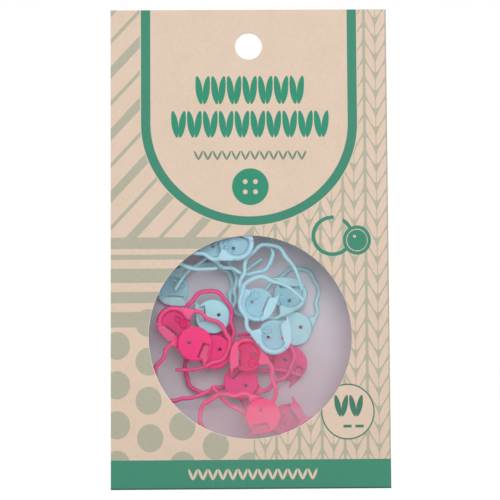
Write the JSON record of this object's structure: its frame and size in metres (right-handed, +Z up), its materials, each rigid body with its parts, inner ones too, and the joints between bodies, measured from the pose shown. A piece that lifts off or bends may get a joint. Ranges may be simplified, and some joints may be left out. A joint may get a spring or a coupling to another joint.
{
  "type": "stitch marker pack",
  "caption": "Flat hanging carton with a round film window, holding locking stitch markers whose wire loops swing shut under a clasp.",
  "frame": {"origin": "under the middle of the pack, on the surface that it stands on", "axes": "+Z up the pack to its hanging hole, printed front facing -Y, +X to the right of that face"},
  "size_m": [0.081, 0.019, 0.14],
  "materials": {
    "printed_board": "matt uncoated print",
    "board": "matt",
    "film": "clear film",
    "blue_plastic": "satin moulded",
    "pink_plastic": "satin moulded"
  },
  "bodies": {
    "carton": {"front_panel": "printed_board", "header_ply": "board", "side_left": "board", "side_right": "board", "back_panel": "board", "bottom_panel": "board", "window_film": "film", "marker_blue_01_head": "blue_plastic", "marker_blue_02_head": "blue_plastic", "marker_blue_03_head": "blue_plastic", "marker_blue_04_head": "blue_plastic", "marker_blue_05_head": "blue_plastic", "marker_blue_06_head": "blue_plastic", "marker_blue_07_head": "blue_plastic", "marker_blue_08_head": "blue_plastic", "marker_blue_09_head": "blue_plastic", "marker_blue_10_head": "blue_plastic", "marker_pink_01_head": "pink_plastic", "marker_pink_02_head": "pink_plastic", "marker_pink_03_head": "pink_plastic", "marker_pink_04_head": "pink_plastic", "marker_pink_05_head": "pink_plastic", "marker_pink_06_head": "pink_plastic", "marker_pink_07_head": "pink_plastic", "marker_pink_08_head": "pink_plastic", "marker_pink_09_head": "pink_plastic", "marker_pink_10_head": "pink_plastic"},
    "top_flap": {"top_flap": "board"},
    "tuck_lip": {"tuck_lip": "board"},
    "dust_flap_left": {"dust_flap_left": "board"},
    "dust_flap_right": {"dust_flap_right": "board"},
    "arm_blue_01": {"marker_blue_01_arm": "blue_plastic"},
    "arm_blue_02": {"marker_blue_02_arm": "blue_plastic"},
    "arm_blue_03": {"marker_blue_03_arm": "blue_plastic"},
    "arm_blue_04": {"marker_blue_04_arm": "blue_plastic"},
    "arm_blue_05": {"marker_blue_05_arm": "blue_plastic"},
    "arm_blue_06": {"marker_blue_06_arm": "blue_plastic"},
    "arm_blue_07": {"marker_blue_07_arm": "blue_plastic"},
    "arm_blue_08": {"marker_blue_08_arm": "blue_plastic"},
    "arm_blue_09": {"marker_blue_09_arm": "blue_plastic"},
    "arm_blue_10": {"marker_blue_10_arm": "blue_plastic"},
    "arm_pink_01": {"marker_pink_01_arm": "pink_plastic"},
    "arm_pink_02": {"marker_pink_02_arm": "pink_plastic"},
    "arm_pink_03": {"marker_pink_03_arm": "pink_plastic"},
    "arm_pink_04": {"marker_pink_04_arm": "pink_plastic"},
    "arm_pink_05": {"marker_pink_05_arm": "pink_plastic"},
    "arm_pink_06": {"marker_pink_06_arm": "pink_plastic"},
    "arm_pink_07": {"marker_pink_07_arm": "pink_plastic"},
    "arm_pink_08": {"marker_pink_08_arm": "pink_plastic"},
    "arm_pink_09": {"marker_pink_09_arm": "pink_plastic"},
    "arm_pink_10": {"marker_pink_10_arm": "pink_plastic"}
  },
  "joints": [
    {"name": "top_flap_hinge", "type": "hinge", "parent": "carton", "child": "top_flap", "pos_m": [0, 0.00953, 0.096], "axis": [-1, 0, 0], "range_deg": [0, 75]},
    {"name": "tuck_lip_fold", "type": "hinge", "parent": "top_flap", "child": "tuck_lip", "pos_m": [0, -0.00788, 0.0961], "axis": [1, 0, 0], "range_deg": [0, 75]},
    {"name": "dust_flap_left_fold", "type": "hinge", "parent": "carton", "child": "dust_flap_left", "pos_m": [-0.03995, 0, 0.09545], "axis": [0, 1, 0], "range_deg": [0, 12], "stiffness_Nm_per_rad": 0.001},
    {"name": "dust_flap_right_fold", "type": "hinge", "parent": "carton", "child": "dust_flap_right", "pos_m": [0.03995, 0, 0.09545], "axis": [0, -1, 0], "range_deg": [0, 12], "stiffness_Nm_per_rad": 0.001},
    {"name": "arm_blue_01_hinge", "type": "hinge", "parent": "carton", "child": "arm_blue_01", "pos_m": [-0.01911, -0.00737, 0.07082], "axis": [0, 1, 0], "range_deg": [0, 36], "stiffness_Nm_per_rad": 0.0005},
    {"name": "arm_blue_02_hinge", "type": "hinge", "parent": "carton", "child": "arm_blue_02", "pos_m": [-0.00949, 0.00747, 0.06525], "axis": [0, 1, 0], "range_deg": [0, 36], "stiffness_Nm_per_rad": 0.0005},
    {"name": "arm_blue_03_hinge", "type": "hinge", "parent": "carton", "child": "arm_blue_03", "pos_m": [-0.00484, 0.00308, 0.06415], "axis": [0, -1, 0], "range_deg": [0, 36], "stiffness_Nm_per_rad": 0.0005},
    {"name": "arm_blue_04_hinge", "type": "hinge", "parent": "carton", "child": "arm_blue_04", "pos_m": [0.00064, -0.00453, 0.06856], "axis": [0, 1, 0], "range_deg": [0, 36], "stiffness_Nm_per_rad": 0.0005},
    {"name": "arm_blue_05_hinge", "type": "hinge", "parent": "carton", "child": "arm_blue_05", "pos_m": [-0.00151, 0.00462, 0.04985], "axis": [0, 1, 0], "range_deg": [0, 36], "stiffness_Nm_per_rad": 0.0005},
    {"name": "arm_blue_06_hinge", "type": "hinge", "parent": "carton", "child": "arm_blue_06", "pos_m": [-0.00257, -0.00737, 0.05569], "axis": [0, 1, 0], "range_deg": [0, 36], "stiffness_Nm_per_rad": 0.0005},
    {"name": "arm_blue_07_hinge", "type": "hinge", "parent": "carton", "child": "arm_blue_07", "pos_m": [0.02001, 0.00758, 0.06031], "axis": [0, -1, 0], "range_deg": [0, 36], "stiffness_Nm_per_rad": 0.0005},
    {"name": "arm_blue_08_hinge", "type": "hinge", "parent": "carton", "child": "arm_blue_08", "pos_m": [-0.02477, -0.00443, 0.07473], "axis": [0, -1, 0], "range_deg": [0, 36], "stiffness_Nm_per_rad": 0.0005},
    {"name": "arm_blue_09_hinge", "type": "hinge", "parent": "carton", "child": "arm_blue_09", "pos_m": [0.00103, -0.00158, 0.0628], "axis": [0, -1, 0], "range_deg": [0, 36], "stiffness_Nm_per_rad": 0.0005},
    {"name": "arm_blue_10_hinge", "type": "hinge", "parent": "carton", "child": "arm_blue_10", "pos_m": [0.0114, -0.00647, 0.07295], "axis": [0, 1, 0], "range_deg": [0, 36], "stiffness_Nm_per_rad": 0.0005},
    {"name": "arm_pink_01_hinge", "type": "hinge", "parent": "carton", "child": "arm_pink_01", "pos_m": [-0.00745, -0.00143, 0.04576], "axis": [0, 1, 0], "range_deg": [0, 36], "stiffness_Nm_per_rad": 0.0005},
    {"name": "arm_pink_02_hinge", "type": "hinge", "parent": "carton", "child": "arm_pink_02", "pos_m": [-0.02808, -0.00358, 0.03222], "axis": [0, -1, 0], "range_deg": [0, 36], "stiffness_Nm_per_rad": 0.0005},
    {"name": "arm_pink_03_hinge", "type": "hinge", "parent": "carton", "child": "arm_pink_03", "pos_m": [-0.00693, 0.00082, 0.05442], "axis": [0, -1, 0], "range_deg": [0, 36], "stiffness_Nm_per_rad": 0.0005},
    {"name": "arm_pink_04_hinge", "type": "hinge", "parent": "carton", "child": "arm_pink_04", "pos_m": [0.00672, -0.00513, 0.02544], "axis": [0, 1, 0], "range_deg": [0, 36], "stiffness_Nm_per_rad": 0.0005},
    {"name": "arm_pink_05_hinge", "type": "hinge", "parent": "carton", "child": "arm_pink_05", "pos_m": [-0.0024, 0.00747, 0.03086], "axis": [0, -1, 0], "range_deg": [0, 36], "stiffness_Nm_per_rad": 0.0005},
    {"name": "arm_pink_06_hinge", "type": "hinge", "parent": "carton", "child": "arm_pink_06", "pos_m": [0.01208, 0.00237, 0.03463], "axis": [0, -1, 0], "range_deg": [0, 36], "stiffness_Nm_per_rad": 0.0005},
    {"name": "arm_pink_07_hinge", "type": "hinge", "parent": "carton", "child": "arm_pink_07", "pos_m": [-0.01098, -0.00728, 0.02609], "axis": [0, -1, 0], "range_deg": [0, 36], "stiffness_Nm_per_rad": 0.0005},
    {"name": "arm_pink_08_hinge", "type": "hinge", "parent": "carton", "child": "arm_pink_08", "pos_m": [-0.01915, 0.00592, 0.03299], "axis": [0, -1, 0], "range_deg": [0, 36], "stiffness_Nm_per_rad": 0.0005},
    {"name": "arm_pink_09_hinge", "type": "hinge", "parent": "carton", "child": "arm_pink_09", "pos_m": [-0.00207, 0.00392, 0.02596], "axis": [0, 1, 0], "range_deg": [0, 36], "stiffness_Nm_per_rad": 0.0005},
    {"name": "arm_pink_10_hinge", "type": "hinge", "parent": "carton", "child": "arm_pink_10", "pos_m": [0.01895, -0.00728, 0.02031], "axis": [0, -1, 0], "range_deg": [0, 36], "stiffness_Nm_per_rad": 0.0005}
  ],
  "couplings": [
    {"joint": "tuck_lip_fold", "follows": "top_flap_hinge", "ratio": 1}
  ]
}
